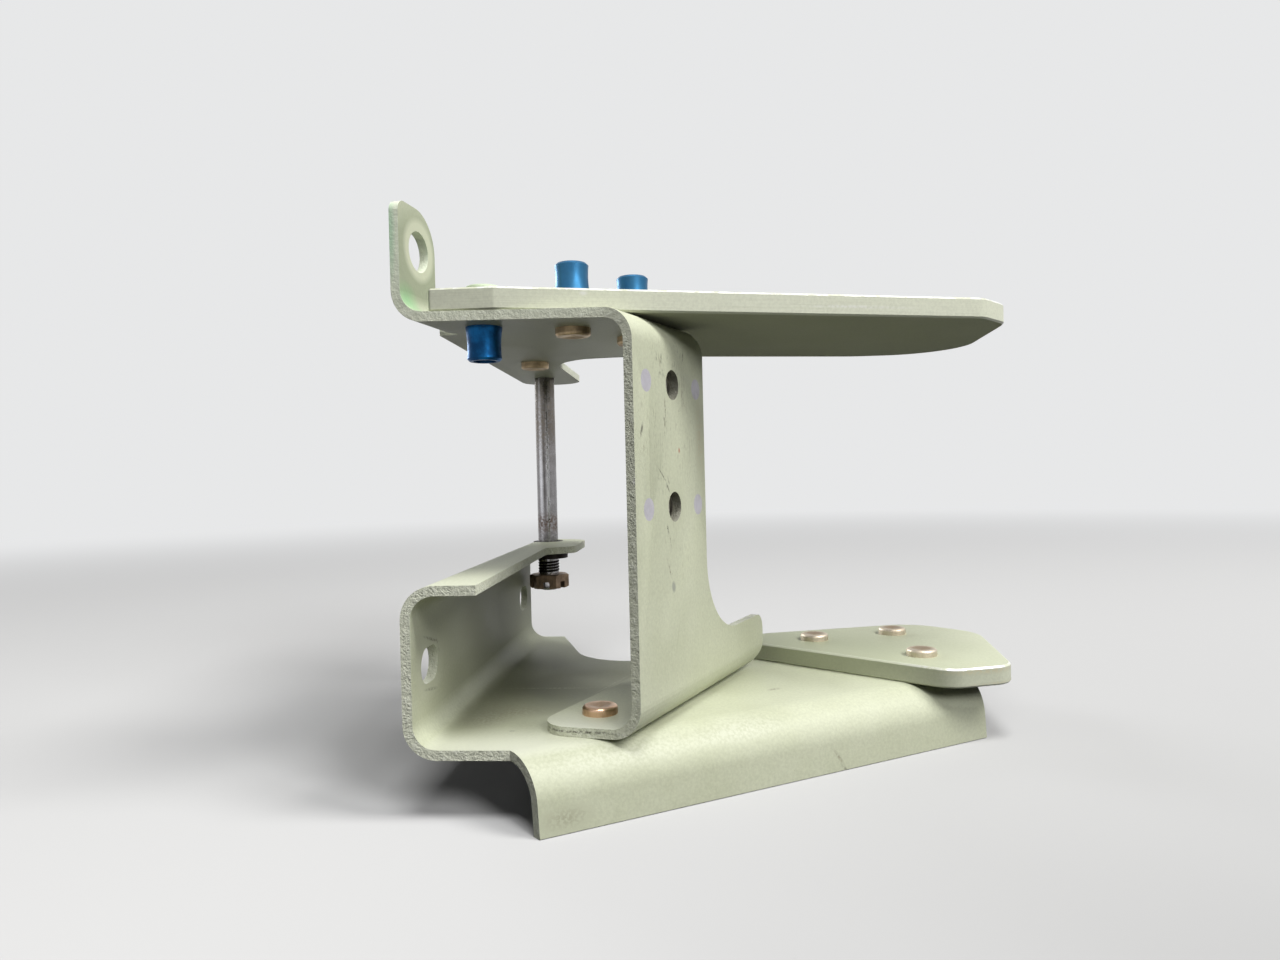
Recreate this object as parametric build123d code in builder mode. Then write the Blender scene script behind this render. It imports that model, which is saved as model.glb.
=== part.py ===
from build123d import *
import os
from math import cos, radians, sin, tan

# Landing gear bracket: a bent channel, a bent upright, two thick plates, their pins and a long bolt.
# Millimetres. X crosses the channel to the right, Y runs back along it, Z is up.
# The origin is midway between the two web bolt holes, on the outer face of the web.
os.makedirs("parts", exist_ok=True)

# Overall, from the lowest edge of the down flange to the top of the ear, and from the front cut back
bracket_height = 125.35
channel_length = 118.4

# Sheet metal
sheet = 2.03
bend_in = 4.8
bend_out = bend_in + sheet

# Channel
channel_height = 34.5
hole_margin = 11.6
hole_height = 16.6
web_hole = 7.5
web_slot = 11.0
lip_front = 15.4
lip_back = 13.8
tab_length = 33.9
tab_slant = 4.5
tab_reach = 21.8
tab_corner = 9.5
tab_bend = 3.0
rear_ledge = 13.0
rear_fillet = 18.0
rear_vertex = (26.9, 76.1)
rear_corner_radius = 9.0

# Down flange of the channel, folded on a skewed line
skew_start = 21.5
skew_angle = 31.5
skew_length = 123.2
skew_fold = 85.0
skew_bend_in = 7.0
skew_bend_out = skew_bend_in + sheet
skew_depth = 14.5
skew_end_slant = 2.8
skew_end_reach = 12.0

# Upright, in its own frame: s runs back along its web, q runs left from its right face
upright_x = 47.0
upright_y = 4.2
upright_turn = 22.7
web_width = 35.8
arm_length = 74.2
arm_height = 14.6
arm_fillet = 18.5
arm_tip_radius = 4.0
arm_heel_radius = 8.0
foot_width = 23.8
foot_length = 68.0
foot_lead = 3.5
foot_radius = 6.5

# Top flange and lug of the upright
lug_width = 19.4
lug_radius = 9.4
lug_past_bolt = 20.5
throat_depth = 66.4
throat_radius = 18.0
shoulder_x = 41.5
shoulder_radius = 5.0

# Ear at the front of the top flange
ear_x = -2.0
ear_y = 5.3
ear_turn = 9.0
ear_width = 16.0
ear_height = 25.4
ear_front_radius = 2.5
ear_back_radius = 8.5
ear_hole = 8.6
ear_hole_s = 8.6
ear_hole_drop = 9.0
ear_relief = 1.4
ear_relief_radius = 0.6
ear_step = 2.1

# Thick plates, the top one's corners measured right of the web and back from the front cut
plate = 4.76
plate_break = 0.4
top_plate_corners = [
    ((5.5, 4.9), 0.8), ((19.2, 5.0), 2.0), ((125.8, 37.6), 6.0), ((133.6, 47.0), 9.0),
    ((137.0, 99.0), 20.0), ((106.0, 98.6), 25.0), ((38.0, 81.5), 40.0), ((9.0, 88.0), 6.0), ((9.2, 22.0), 6.0),
]

# The base's rear corner, the end plate and its pins, measured right of and back from the fold's far end
rear_corner = (-0.5, 38.6)
end_plate_corners = [
    ((-58.5, 20.8), 5.0), ((-8.0, -19.4), 8.0), ((8.5, -14.1), 7.0),
    ((13.3, 28.6), 14.0), ((-2.5, 44.6), 14.0), ((-49.5, 30.6), 9.0),
]
end_places = [(-35.4, 20.2), (-11.8, 28.1), (-10.7, -2.1)]

# Pins and collars
pin_diameter = 4.76
pin_head = 7.7
pin_head_height = 1.8
pin_rim = 0.7
pin_dish = 0.5
pin_dish_radius = 2.5
collar_foot = 7.7
collar_waist = 7.1
collar_tip = 7.35
collar_height = 7.2
collar_lip = 0.5
pin_recess = 1.2
socket_size = 2.4
socket_depth = 1.6
slip = 0.02

# Top pins, measured right of the web and back from the front cut
top_places = [(14.9, 13.9), (33.1, 19.3), (45.0, 34.5), (14.2, 73.0)]

# Foot pins, measured back along the upright and left of its right face
foot_places = [(9.9, 15.0), (58.0, 15.0)]

# Long bolt, its washer, bushing and nut
bolt_x = 9.6
bolt_margin = 6.9
bolt_diameter = 6.32
bolt_head_flats = 11.11
bolt_head_height = 4.0
bolt_tail = 0.64
cotter_rise = 1.9
washer_size = 12.7
washer_height = 1.6
bolt_running = 0.04
bushing_size = 12.4
bushing_barrel = 9.5
bushing_flange = 3.4
nut_flats = 11.11
nut_height = 4.4
nut_gap = 5.2
slot_width = 2.0
slot_depth = 2.2
cotter_hole = 1.9
hex_break = 0.8
seat_break = 0.3

# Anchor nuts on the upright's web
anchor_hole = 6.5
anchor_s = 18.6
anchor_drops = [14.7, 41.1]
anchor_rivet_pitch = 25.4
anchor_waist = 11.5
anchor_end_radius = 3.6
anchor_sheet = 1.0
anchor_barrel = 9.4
anchor_barrel_height = 6.6
anchor_thread = 5.6
anchor_break = 0.6
rivet_shank = 2.4
rivet_face = 4.7
rivet_angle = 100.0
rivet_tail = 3.7
rivet_tail_height = 1.0

# Worked-out levels and places along the channel
front = -channel_length / 2
hole_spacing = channel_length - 2 * hole_margin
tab_start = channel_length - tab_length
bolt_y = channel_length - bolt_margin
lug_back = bolt_y + lug_past_bolt
skew_turn = radians(skew_fold)
flange_end = sheet * cos(skew_turn)
upright_height = bracket_height - skew_depth - flange_end - ear_height + sheet
base_under = -hole_height
base_top = base_under + sheet
channel_top = base_under + channel_height
channel_lip_under = channel_top - sheet
flange_top = base_top + upright_height
flange_under = flange_top - sheet
plate_top = flange_top + plate
end_plate_top = base_top + plate


def behind(x, y):
    """A plan point right of the web and back from the front cut."""
    return (x, front + y)


turn = radians(upright_turn)
upright_foot = behind(upright_x, upright_y)


def on_upright(s, q):
    """A plan point s back along the upright's web and q left of its right face."""
    return (
        upright_foot[0] + s * sin(turn) - q * cos(turn),
        upright_foot[1] + s * cos(turn) + q * sin(turn),
    )


def upright_section(s):
    """The plane across the upright's web, with q to its right and Z up."""
    return Plane(origin=(*on_upright(s, 0), 0), x_dir=(-cos(turn), sin(turn), 0), z_dir=(sin(turn), cos(turn), 0))


def upright_face(q):
    """The plane along the upright's web, with s to its right and Z up."""
    return Plane(origin=(*on_upright(0, q), 0), x_dir=(sin(turn), cos(turn), 0), z_dir=(cos(turn), -sin(turn), 0))


def upright_floor(z):
    """The level plane with s and q as its axes."""
    return Plane(origin=(*upright_foot, z), x_dir=(sin(turn), cos(turn), 0), z_dir=(0, 0, 1))


skew = radians(skew_angle)
skew_foot = behind(skew_start, 0)
skew_leg = (skew_depth - skew_bend_out * (1 - cos(skew_turn))) / sin(skew_turn)


def on_skew(run, out):
    """A plan point along the skewed fold and out from it to the front right."""
    return (
        skew_foot[0] + run * cos(skew) + out * sin(skew),
        skew_foot[1] + run * sin(skew) - out * cos(skew),
    )


fold_end = on_skew(skew_length, 0)


def past_fold(x, y):
    """A plan point right of the fold's far end and back from it."""
    return (fold_end[0] + x, fold_end[1] + y)


ear = radians(ear_turn)
ear_top = flange_under + ear_height


def on_ear(s, reach):
    """A plan point s back along the ear and reach right of its outer face."""
    x, y = behind(ear_x, ear_y)
    return (x + s * sin(ear) + reach * cos(ear), y + s * cos(ear) - reach * sin(ear))


def turned(place, z, up):
    """The plane of a turned piece's half profile, its second axis pointing up or down."""
    return Plane(origin=(*place, z), x_dir=(1, 0, 0), z_dir=(0, -up, 0))


def c_section(low, high):
    """The bent C of one sheet, open to the right, ending where its two bends end."""
    with BuildSketch() as section:
        with BuildLine():
            lower = JernArc((bend_out, low), (-1, 0), bend_out, -90)
            upper = JernArc((bend_out, high), (-1, 0), bend_out, 90)
            Line(lower @ 1, upper @ 1)
            lower_inside = JernArc((bend_out, low + sheet), (-1, 0), bend_in, -90)
            upper_inside = JernArc((bend_out, high - sheet), (-1, 0), bend_in, 90)
            Line(lower_inside @ 1, upper_inside @ 1)
            Line((bend_out, low), (bend_out, low + sheet))
            Line((bend_out, high - sheet), (bend_out, high))
        make_face()
    return section.sketch


def save(part, name):
    """Label a finished piece and write its file."""
    part.label = name
    export_step(part, f"parts/{name}.step")


# Places of the pins, in model coordinates
top_pins = [behind(*place) for place in top_places]
end_pins = [past_fold(*place) for place in end_places]
foot_pins = [on_upright(*place) for place in foot_places]
bolt_place = behind(bolt_x, bolt_y)
pin_hole = pin_diameter / 2 + slip
anchor_places = [(anchor_s, flange_top - drop) for drop in anchor_drops]
rivet_places = [(s + side * anchor_rivet_pitch / 2, z) for s, z in anchor_places for side in (-1, 1)]

# Levels on the bolt: its head sits on the washer, its nut hangs a gap below the bushing
head_seat_level = flange_top + washer_height
bushing_low = channel_lip_under - bushing_flange
nut_low = bushing_low - nut_gap - nut_height
bolt_end = nut_low - bolt_tail

# The channel: its C section, its base and lip cut to outline, and the skewed down flange
with BuildPart() as base_channel:
    with BuildSketch(Plane.XZ.offset(-front)):
        add(c_section(base_under, channel_top))
    extrude(amount=-channel_length)
    with BuildSketch(Plane.XY.offset(base_under)):
        with BuildLine():
            Polyline(behind(bend_out, channel_length), behind(bend_out, 0), skew_foot, fold_end)
            FilletPolyline(
                fold_end, past_fold(*rear_corner), behind(*rear_vertex),
                behind(rear_ledge, channel_length), behind(bend_out, channel_length),
                radius=[rear_corner_radius, rear_fillet, 0],
            )
        make_face()
    extrude(amount=sheet)
    with BuildSketch(Plane.XY.offset(channel_lip_under)):
        with BuildLine():
            FilletPolyline(
                behind(bend_out, 0), behind(lip_front, 0), behind(lip_back, tab_start),
                behind(tab_reach, tab_start + tab_slant), behind(tab_reach, channel_length),
                behind(bend_out, channel_length),
                radius=[0, tab_bend, tab_bend, tab_corner],
            )
            Line(behind(bend_out, channel_length), behind(bend_out, 0))
        make_face()
    extrude(amount=sheet)
    fold_plane = Plane(origin=(*fold_end, 0), x_dir=(sin(skew), -cos(skew), 0), z_dir=(-cos(skew), -sin(skew), 0))
    with BuildSketch(fold_plane):
        with BuildLine():
            outside = JernArc((0, base_top), (1, 0), skew_bend_out, -skew_fold)
            outer_leg = PolarLine(outside @ 1, skew_leg, direction=outside % 1)
            inside = JernArc((0, base_under), (1, 0), skew_bend_in, -skew_fold)
            inner_leg = PolarLine(inside @ 1, skew_leg, direction=inside % 1)
            Line(outer_leg @ 1, inner_leg @ 1)
            Line((0, base_under), (0, base_top))
        make_face()
    extrude(amount=skew_length)
    # Both ends of the down flange are trimmed on a slant
    with BuildSketch(Plane.XY.offset(base_top)):
        for end, way in ((0, 1), (skew_length, -1)):
            with BuildLine():
                Polyline(
                    on_skew(end, 0), on_skew(end, skew_end_reach),
                    on_skew(end + way * skew_end_slant, skew_end_reach), close=True,
                )
            make_face()
    extrude(amount=-2 * skew_depth, mode=Mode.SUBTRACT)
    # Slotted web holes, pin holes through the base and the bushing's seat in the tab
    with BuildSketch(Plane.YZ):
        with GridLocations(hole_spacing, 0, 2, 1):
            SlotOverall(web_slot, web_hole)
    extrude(amount=2 * sheet, both=True, mode=Mode.SUBTRACT)
    with Locations(*[(*place, base_top) for place in end_pins + foot_pins]):
        Hole(pin_hole, depth=2 * sheet)
    with Locations((*bolt_place, channel_top)):
        Hole(bushing_barrel / 2 + slip, depth=2 * sheet)
save(base_channel.part, "base_channel")

# The upright: its web with both bends, then its foot, its top flange with the lug, and its ear
with BuildPart() as upright_bracket:
    with BuildSketch(upright_section(-foot_lead)):
        add(c_section(base_top, flange_top))
    extrude(amount=arm_length + 2 * foot_lead)
    with BuildSketch(upright_face(-sheet)):
        with BuildLine():
            FilletPolyline(
                (0, base_top), (arm_length, base_top), (arm_length, base_top + arm_height),
                (web_width, base_top + arm_height), (web_width, flange_top), (0, flange_top),
                radius=[arm_heel_radius, arm_tip_radius, arm_fillet, 0],
            )
            Line((0, flange_top), (0, base_top))
        make_face()
    extrude(amount=-bend_out - 2 * sheet, mode=Mode.INTERSECT)
    with BuildSketch(upright_floor(base_top)):
        with BuildLine():
            FilletPolyline(
                (0, bend_out), (-foot_lead, foot_width), (foot_length, foot_width), (foot_length, bend_out),
                radius=foot_radius,
            )
            Line((foot_length, bend_out), (0, bend_out))
        make_face()
    extrude(amount=sheet)
    with BuildSketch(Plane.XY.offset(flange_under)):
        with BuildLine():
            FilletPolyline(
                on_upright(0, bend_out), on_ear(0, bend_out), on_ear(ear_width + ear_relief, bend_out),
                on_ear(ear_width + ear_relief, ear_step), behind(0, lug_back), behind(lug_width, lug_back),
                behind(lug_width, throat_depth), behind(shoulder_x, throat_depth), on_upright(web_width, bend_out),
                radius=[0, ear_relief_radius, 0, lug_radius, lug_radius, throat_radius, shoulder_radius],
            )
            Line(on_upright(web_width, bend_out), on_upright(0, bend_out))
        make_face()
    extrude(amount=sheet)
    ear_section = Plane(origin=(*on_ear(0, bend_out), 0), x_dir=(-cos(ear), sin(ear), 0), z_dir=(sin(ear), cos(ear), 0))
    with BuildSketch(ear_section):
        with BuildLine():
            outer_bend = JernArc((0, flange_under), (1, 0), bend_out, 90)
            inner_bend = JernArc((0, flange_top), (1, 0), bend_in, 90)
            Line((0, flange_under), (0, flange_top))
            Polyline(outer_bend @ 1, (bend_out, ear_top), (bend_in, ear_top), inner_bend @ 1)
        make_face()
    extrude(amount=ear_width)
    ear_corners = edges().filter_by(Axis((0, 0, 0), (cos(ear), -sin(ear), 0))).group_by(Axis.Z)[-1].sort_by(Axis.Y)
    fillet(ear_corners[0], radius=ear_front_radius)
    fillet(ear_corners[-1], radius=ear_back_radius)
    # Ear hole, anchor-nut holes with their sunk rivet seats, pin holes and the bolt's hole in the lug
    ear_face = Plane(origin=(*on_ear(0, 0), ear_top), x_dir=(sin(ear), cos(ear), 0), z_dir=(cos(ear), -sin(ear), 0))
    with BuildSketch(ear_face):
        with Locations((ear_hole_s, -ear_hole_drop)):
            Circle(ear_hole / 2)
    extrude(amount=2 * sheet, both=True, mode=Mode.SUBTRACT)
    with BuildSketch(upright_face(0)):
        with Locations(*anchor_places):
            Circle(anchor_hole / 2)
    extrude(amount=2 * sheet, both=True, mode=Mode.SUBTRACT)
    with Locations(*[upright_face(0).location * Location((*place, 0)) for place in rivet_places]):
        CounterSinkHole(rivet_shank / 2 + slip, rivet_face / 2, 2 * sheet, rivet_angle)
    with Locations(*[(*place, base_top + sheet) for place in foot_pins]):
        Hole(pin_hole, depth=2 * sheet)
    with Locations(*[(*place, flange_top) for place in top_pins]):
        Hole(pin_hole, depth=2 * sheet)
    with Locations((*bolt_place, flange_top)):
        Hole(bolt_diameter / 2 + bolt_running, depth=2 * sheet)
save(upright_bracket.part, "upright_bracket")


def thick_plate(corners, under, holes, name):
    """A flat plate of rounded outline, its long edges broken, with its pin holes."""
    with BuildPart() as plate_part:
        with BuildSketch(Plane.XY.offset(under)):
            with BuildLine():
                FilletPolyline(*[point for point, _ in corners], radius=[radius for _, radius in corners], close=True)
            make_face()
        extrude(amount=plate)
        chamfer(faces().filter_by(Axis.Z).edges(), length=plate_break)
        with Locations(*[(*place, under + plate) for place in holes]):
            Hole(pin_hole)
    save(plate_part.part, name)


top_outline = [(behind(*point), radius) for point, radius in top_plate_corners]
end_outline = [(past_fold(*point), radius) for point, radius in end_plate_corners]
thick_plate(top_outline, flange_top, top_pins, "top_plate")
thick_plate(end_outline, base_top, end_pins, "end_plate")


def headed_pin(place, seat, up, grip, name):
    """A round pin with a dished head on its seat, pointing away from up, with a socket in its tail."""
    tail = grip + collar_height - pin_recess
    with BuildPart() as pin:
        with BuildSketch(turned(place, seat, up)):
            with BuildLine():
                FilletPolyline(
                    (pin_dish_radius, pin_head_height), (pin_head / 2, pin_head_height), (pin_head / 2, 0),
                    (pin_diameter / 2, 0), (pin_diameter / 2, -tail), (0, -tail),
                    radius=[pin_rim, 0, 0, pin_rim],
                )
                Polyline((0, -tail), (0, pin_head_height - pin_dish), (pin_dish_radius, pin_head_height))
            make_face()
        revolve(axis=Axis((*place, 0), (0, 0, 1)))
        with BuildSketch(Plane.XY.offset(seat - up * tail)):
            with Locations(place):
                RegularPolygon(socket_size / 2, 6, major_radius=False)
        extrude(amount=up * socket_depth, mode=Mode.SUBTRACT)
    save(pin.part, name)


def swaged_collar(place, seat, up, name):
    """A waisted collar that seats on the sheet and closes round the pin's tail."""
    bore = pin_diameter / 2 + slip
    with BuildPart() as collar:
        with BuildSketch(turned(place, seat, up)):
            with BuildLine():
                Polyline(
                    (collar_tip / 2, collar_height - collar_lip), (collar_tip / 2 - collar_lip, collar_height),
                    (bore, collar_height), (bore, 0), (collar_foot / 2, 0), (collar_foot / 2, collar_lip),
                )
                ThreePointArc(
                    (collar_foot / 2, collar_lip), (collar_waist / 2, collar_height / 2),
                    (collar_tip / 2, collar_height - collar_lip),
                )
            make_face()
        revolve(axis=Axis((*place, 0), (0, 0, 1)))
    save(collar.part, name)


# The first top pin is set head up, the other three head down
for number, place in enumerate(top_pins, start=1):
    up = 1 if number == 1 else -1
    head_seat, collar_seat = (plate_top, flange_under) if up == 1 else (flange_under, plate_top)
    headed_pin(place, head_seat, up, sheet + plate, f"top_pin_{number}")
    swaged_collar(place, collar_seat, -up, f"top_collar_{number}")

for number, place in enumerate(end_pins, start=1):
    headed_pin(place, end_plate_top, 1, plate + sheet, f"end_pin_{number}")
    swaged_collar(place, base_under, -1, f"end_collar_{number}")

for number, place in enumerate(foot_pins, start=1):
    headed_pin(place, base_top + sheet, 1, 2 * sheet, f"foot_pin_{number}")
    swaged_collar(place, base_under, -1, f"foot_collar_{number}")


def hex_blank(low, flats, height, breaks):
    """A hexagon on the bolt's axis, its corners broken at its low and its high end."""
    corner = flats / 2 / cos(radians(30))
    low_break, high_break = breaks
    with BuildPart() as blank:
        with BuildSketch(Plane.XY.offset(low)):
            with Locations(bolt_place):
                RegularPolygon(flats / 2, 6, major_radius=False)
        extrude(amount=height)
        with BuildSketch(turned(bolt_place, low, 1)):
            with BuildLine():
                Polyline(
                    (0, 0), (corner - low_break, 0), (corner, low_break / 2), (corner, height - high_break / 2),
                    (corner - high_break, height), (0, height), close=True,
                )
            make_face()
        revolve(axis=Axis((*bolt_place, 0), (0, 0, 1)), mode=Mode.INTERSECT)
    return blank.part


# The long bolt hangs head up from the lug and passes through the tab of the channel
with BuildPart() as pivot_bolt:
    add(hex_blank(head_seat_level, bolt_head_flats, bolt_head_height, (seat_break, hex_break)))
    with BuildSketch(Plane.XY.offset(bolt_end)):
        with Locations(bolt_place):
            Circle(bolt_diameter / 2)
    extrude(amount=head_seat_level - bolt_end)
    chamfer(faces().sort_by(Axis.Z)[0].edges(), length=hex_break)
    with BuildSketch(Plane.XZ.offset(-bolt_place[1])):
        with Locations((bolt_place[0], bolt_end + cotter_rise)):
            Circle(cotter_hole / 2)
    extrude(amount=bolt_diameter, both=True, mode=Mode.SUBTRACT)
save(pivot_bolt.part, "pivot_bolt")

with BuildPart() as bolt_washer:
    with BuildSketch(Plane.XY.offset(flange_top)):
        with Locations(bolt_place):
            Circle(washer_size / 2)
            Circle(bolt_diameter / 2 + bolt_running, mode=Mode.SUBTRACT)
    extrude(amount=washer_height)
save(bolt_washer.part, "bolt_washer")

with BuildPart() as flanged_bushing:
    with BuildSketch(Plane.XY.offset(bushing_low)):
        with Locations(bolt_place):
            Circle(bushing_size / 2)
    extrude(amount=bushing_flange)
    # The flange is relieved to nest against the channel's upper bend
    with BuildSketch(Plane.XZ.offset(-front)):
        add(c_section(base_under, channel_top))
    extrude(amount=-channel_length, mode=Mode.SUBTRACT)
    with BuildSketch(Plane.XY.offset(bushing_low)):
        with Locations(bolt_place):
            Circle(bushing_barrel / 2)
    extrude(amount=bushing_flange + sheet)
    with Locations((*bolt_place, channel_top)):
        Hole(bolt_diameter / 2 + bolt_running)
save(flanged_bushing.part, "flanged_bushing")

with BuildPart() as castellated_nut:
    add(hex_blank(nut_low, nut_flats, nut_height, (hex_break, hex_break)))
    with Locations((*bolt_place, nut_low + nut_height)):
        Hole(bolt_diameter / 2 + slip)
    with BuildSketch(Plane.XY.offset(nut_low)):
        with Locations(bolt_place):
            with PolarLocations(0, 3, start_angle=30):
                Rectangle(2 * nut_flats, slot_width)
    extrude(amount=slot_depth, mode=Mode.SUBTRACT)
save(castellated_nut.part, "castellated_nut")

# Anchor nuts on the left face of the upright's web, each on a strip held by two flush rivets
web_left = (-cos(turn), sin(turn), 0)
for number, place in enumerate(anchor_places, start=1):
    with BuildPart() as anchor_nut:
        with BuildSketch(upright_face(sheet)):
            with Locations(place):
                Circle(anchor_waist / 2)
                with GridLocations(anchor_rivet_pitch, 0, 2, 1):
                    Circle(anchor_end_radius)
            make_hull()
        extrude(amount=-anchor_sheet)
        with BuildSketch(upright_face(sheet)):
            with Locations(place):
                Circle(anchor_barrel / 2)
        extrude(amount=-anchor_sheet - anchor_barrel_height)
        chamfer(faces().sort_by(Axis((0, 0, 0), web_left))[-1].edges(), length=anchor_break)
        with BuildSketch(upright_face(sheet)):
            with Locations(place):
                Circle(anchor_thread / 2)
                with GridLocations(anchor_rivet_pitch, 0, 2, 1):
                    Circle(rivet_shank / 2 + slip)
        extrude(amount=-anchor_sheet - anchor_barrel_height, mode=Mode.SUBTRACT)
    save(anchor_nut.part, f"anchor_nut_{number}")

sink_depth = (rivet_face - rivet_shank) / 2 / tan(radians(rivet_angle / 2))
rivet_grip = sheet + anchor_sheet
for number, (s, z) in enumerate(rivet_places, start=1):
    rivet_axis = Axis((*on_upright(s, 0), z), web_left)
    with BuildPart() as anchor_rivet:
        with BuildSketch(Plane(origin=(*on_upright(s, 0), z), x_dir=(0, 0, 1), z_dir=(-sin(turn), -cos(turn), 0))):
            with BuildLine():
                Polyline(
                    (0, 0), (rivet_face / 2, 0), (rivet_shank / 2, sink_depth), (rivet_shank / 2, rivet_grip),
                    (rivet_tail / 2, rivet_grip), (rivet_tail / 2, rivet_grip + rivet_tail_height),
                    (0, rivet_grip + rivet_tail_height), close=True,
                )
            make_face()
        revolve(axis=rivet_axis)
    save(anchor_rivet.part, f"anchor_rivet_{number}")
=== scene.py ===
# %% [markdown]
# A landing gear bracket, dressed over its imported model. The bracket is bent from two sheets: a channel
# that is bolted on by its web, and an upright with an ear and a lug. One thick plate is pinned on top of
# the upright and another on the channel's base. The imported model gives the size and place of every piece,
# and this script adds what it leaves out: paint and metal, marks of use, rounded corners and threads.

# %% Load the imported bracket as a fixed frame
from math import cos, pi, radians, sin

import bmesh
import bpy
from mathutils import Matrix, Vector
from mathutils.bvhtree import BVHTree


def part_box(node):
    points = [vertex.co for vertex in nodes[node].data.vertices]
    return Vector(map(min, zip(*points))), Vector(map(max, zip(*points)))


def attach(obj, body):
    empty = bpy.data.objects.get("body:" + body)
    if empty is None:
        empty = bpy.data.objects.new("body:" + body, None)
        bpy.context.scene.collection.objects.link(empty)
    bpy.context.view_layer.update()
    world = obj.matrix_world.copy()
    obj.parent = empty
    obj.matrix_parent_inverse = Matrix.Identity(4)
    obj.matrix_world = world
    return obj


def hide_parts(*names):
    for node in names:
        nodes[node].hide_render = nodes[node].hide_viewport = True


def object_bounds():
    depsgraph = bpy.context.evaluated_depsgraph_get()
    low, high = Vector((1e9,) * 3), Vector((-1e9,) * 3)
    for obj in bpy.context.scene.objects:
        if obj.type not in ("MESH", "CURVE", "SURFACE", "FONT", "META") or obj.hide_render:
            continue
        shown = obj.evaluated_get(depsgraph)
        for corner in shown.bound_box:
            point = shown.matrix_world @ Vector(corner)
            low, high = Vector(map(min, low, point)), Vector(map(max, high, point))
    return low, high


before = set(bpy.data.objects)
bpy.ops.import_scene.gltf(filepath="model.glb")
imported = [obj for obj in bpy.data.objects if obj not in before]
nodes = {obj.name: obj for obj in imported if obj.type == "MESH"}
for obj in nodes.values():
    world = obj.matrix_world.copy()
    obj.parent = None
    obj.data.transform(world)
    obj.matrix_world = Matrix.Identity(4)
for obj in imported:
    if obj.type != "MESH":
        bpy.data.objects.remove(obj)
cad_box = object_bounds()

# %% [markdown]
# The camera stands where the photograph was taken from: close, low and almost level. Its place and its
# angles were found by fitting edges whose sizes are known. The view is wide, so the near flange looks
# larger than the far plate.

# %% Set the camera at the photograph's angle
photo_width = 1280
focal_pixels = 862.34
sensor_width = 36.0
eye = Vector((0.06056, -0.22516, 0.03893))
left_yaw, down_pitch, roll = radians(4.24), radians(0.40), radians(1.40)
ahead = Vector((-sin(left_yaw) * cos(down_pitch), cos(left_yaw) * cos(down_pitch), -sin(down_pitch)))
level_right = Vector((cos(left_yaw), sin(left_yaw), 0.0))
level_up = level_right.cross(ahead)
camera_x = level_right * cos(roll) - level_up * sin(roll)
camera_y = level_right * sin(roll) + level_up * cos(roll)
camera_data = bpy.data.cameras.new("camera")
camera_data.sensor_width = sensor_width
camera_data.lens = focal_pixels / photo_width * sensor_width
camera_data.clip_start = 0.005
camera = bpy.data.objects.new("camera", camera_data)
turn_matrix = Matrix((camera_x, camera_y, -ahead)).transposed().to_4x4()
camera.matrix_world = Matrix.Translation(eye) @ turn_matrix
bpy.context.scene.collection.objects.link(camera)
bpy.context.scene.camera = camera
print("lens", round(camera_data.lens, 2), "mm, eye", [round(v, 4) for v in eye])

# %% [markdown]
# Paint, dirt and metal are wired from nodes. An image would have to be unwrapped on every sheet, while a
# noise in object coordinates follows any shape without a seam. One helper starts a material, one adds a
# node, linking each input that is given a socket and setting each that is given a value, and the others
# add the nodes used most: a place, a noise, a ramp, a blend of two colours, a step of arithmetic and a
# height.

# %% Helpers that wire a material
def new_material(name):
    material = bpy.data.materials.new(name)
    material.use_nodes = True
    return material, material.node_tree, material.node_tree.nodes["Principled BSDF"]


def wire(tree, kind, inputs=None, **settings):
    node = tree.nodes.new(kind)
    for key, value in settings.items():
        setattr(node, key, value)
    for key, value in (inputs or {}).items():
        if isinstance(value, bpy.types.NodeSocket):
            tree.links.new(value, node.inputs[key])
        else:
            node.inputs[key].default_value = value
    return node


def object_place(tree):
    return wire(tree, "ShaderNodeTexCoord").outputs["Object"]


def noise(tree, place, scale, detail=4.0, roughness=0.55):
    settings = {"Vector": place, "Scale": scale, "Detail": detail, "Roughness": roughness}
    return wire(tree, "ShaderNodeTexNoise", settings).outputs["Fac"]


def ramp(tree, value, low, high, low_out=0.0, high_out=1.0):
    settings = {"Value": value, "From Min": low, "From Max": high, "To Min": low_out, "To Max": high_out}
    return wire(tree, "ShaderNodeMapRange", settings).outputs["Result"]


def blend(tree, factor, first, second, mode="MIX"):
    node = wire(tree, "ShaderNodeMix", data_type="RGBA", blend_type=mode)
    for socket, value in ((node.inputs[0], factor), (node.inputs[6], first), (node.inputs[7], second)):
        if isinstance(value, bpy.types.NodeSocket):
            tree.links.new(value, socket)
        else:
            socket.default_value = value
    return node.outputs[2]


def combine(tree, operation, first, second=0.0):
    return wire(tree, "ShaderNodeMath", {0: first, 1: second}, operation=operation).outputs["Value"]


def height(tree, place):
    return wire(tree, "ShaderNodeSeparateXYZ", {"Vector": place}).outputs["Z"]


# %% [markdown]
# A mark is one patch of dirt, wear or scratch at a measured place. It could be painted on by hand, but a
# small ellipsoid round a point of the surface is exact and takes one line: long and thin for a scratch,
# round for a stain. It is even, or a noise breaks it up: into the grain of a rub, or into the short
# upright dashes of a scored patch.

# %% Place a mark on a surface
def stretched(tree, place, turn, scale):
    mapping = wire(tree, "ShaderNodeMapping", {"Vector": place})
    mapping.inputs["Rotation"].default_value = turn
    mapping.inputs["Scale"].default_value = scale
    return mapping.outputs["Vector"]


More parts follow.
